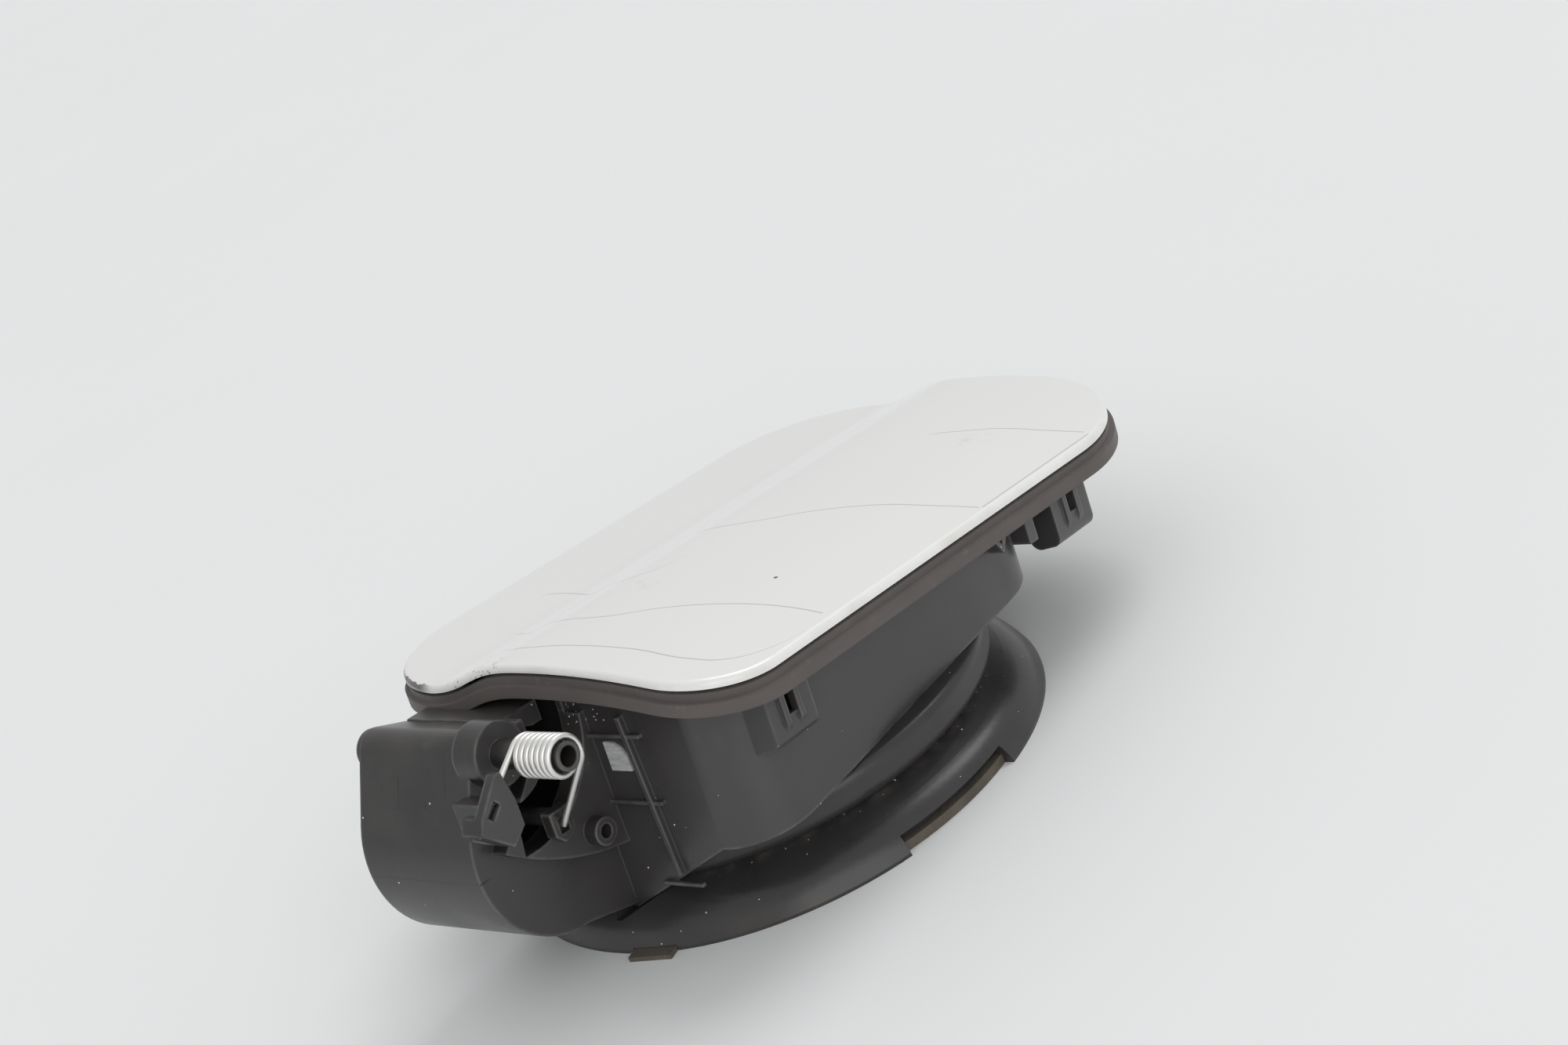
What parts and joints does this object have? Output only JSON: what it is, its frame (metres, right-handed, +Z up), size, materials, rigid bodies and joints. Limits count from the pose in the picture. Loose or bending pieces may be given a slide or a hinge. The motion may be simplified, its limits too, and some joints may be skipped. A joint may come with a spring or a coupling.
{
  "type": "car fuel door",
  "caption": "Painted fuel door on a sprung gooseneck hinge, closing over a moulded filler pot with an edge seal and a flared rubber bellows.",
  "frame": {"origin": "on the bellows neck axis, in the plane that the base stands on", "axes": "+Z up out of the filler, +X along the flap hinge, +Y from the hinge to the latch end"},
  "size_m": [0.1745, 0.267, 0.0908],
  "materials": {
    "paint": "gloss warm white paint",
    "carrier": "moulded, satin",
    "arm": "glass-filled, satin",
    "screw": "zinc plated",
    "pin": "drawn",
    "pot": "moulded, fine grain",
    "spring": "bright wire",
    "seal": "soft, dusty",
    "bellows": "soft sheen",
    "foam": "foam",
    "latch": "moulded",
    "bumper": "soft",
    "nut": "spring steel"
  },
  "bodies": {
    "pot_body": {"pot": "pot", "hinge_pin": "pin", "pin_washer": "pin", "flange_seal": "seal", "bellows": "bellows", "base_ring": "foam", "latch_body": "latch", "bumpers": "bumper", "spring_nut": "nut", "torsion_spring": "spring"},
    "flap_body": {"flap_panel": "paint", "flap_inner": "carrier", "hinge_arm": "arm", "arm_screws": "screw", "cap_hook": "carrier"}
  },
  "joints": [
    {"name": "flap_hinge", "type": "hinge", "parent": "pot_body", "child": "flap_body", "pos_m": [0, -0.09592, 0.07797], "axis": [1, 0, 0], "range_deg": [0, 75], "stiffness_Nm_per_rad": 0.12, "springref_deg": -22.92, "deforming": ["torsion_spring"]}
  ]
}
